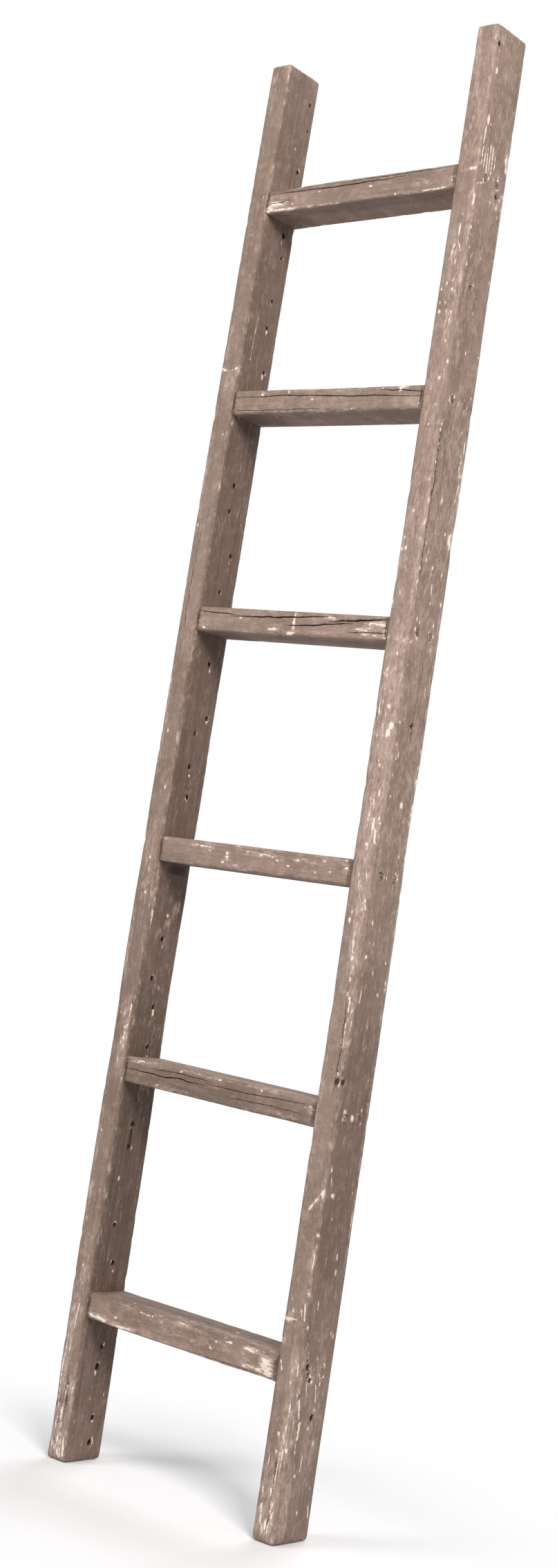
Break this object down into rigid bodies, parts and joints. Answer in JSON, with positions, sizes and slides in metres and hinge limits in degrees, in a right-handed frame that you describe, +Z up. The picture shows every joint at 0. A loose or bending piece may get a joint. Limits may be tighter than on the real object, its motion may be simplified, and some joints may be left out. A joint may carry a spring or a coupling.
{
  "type": "blanket ladder",
  "caption": "Leaning ladder of old boards for hanging blankets: two rails with rungs of the same board nailed flush between them.",
  "frame": {"origin": "on the floor, midway between the two feet and midway through the boards' depth", "axes": "+Z up along the rails, +X to the right across the ladder, -Y towards the front that faces the room; in use the part is tilted back by about 14 degrees about X, towards +Y"},
  "size_m": [0.369, 0.064, 1.829],
  "materials": {
    "rail_wood": "old brown-grey paint, worn through to pale wood along the edges",
    "rung_wood": "old brown-grey paint over open grain, scuffed pale",
    "nail_iron": "old brown-grey paint, worn on the heads' rims"
  },
  "bodies": {
    "root": {"left_rail": "rail_wood", "right_rail": "rail_wood", "rung_1": "rung_wood", "rung_2": "rung_wood", "rung_3": "rung_wood", "rung_4": "rung_wood", "rung_5": "rung_wood", "rung_6": "rung_wood", "nails_rung_1_left": "nail_iron", "nails_rung_1_right": "nail_iron", "nails_rung_2_left": "nail_iron", "nails_rung_2_right": "nail_iron", "nails_rung_3_left": "nail_iron", "nails_rung_3_right": "nail_iron", "nails_rung_4_left": "nail_iron", "nails_rung_4_right": "nail_iron", "nails_rung_5_left": "nail_iron", "nails_rung_5_right": "nail_iron", "nails_rung_6_left": "nail_iron", "nails_rung_6_right": "nail_iron"}
  },
  "joints": []
}
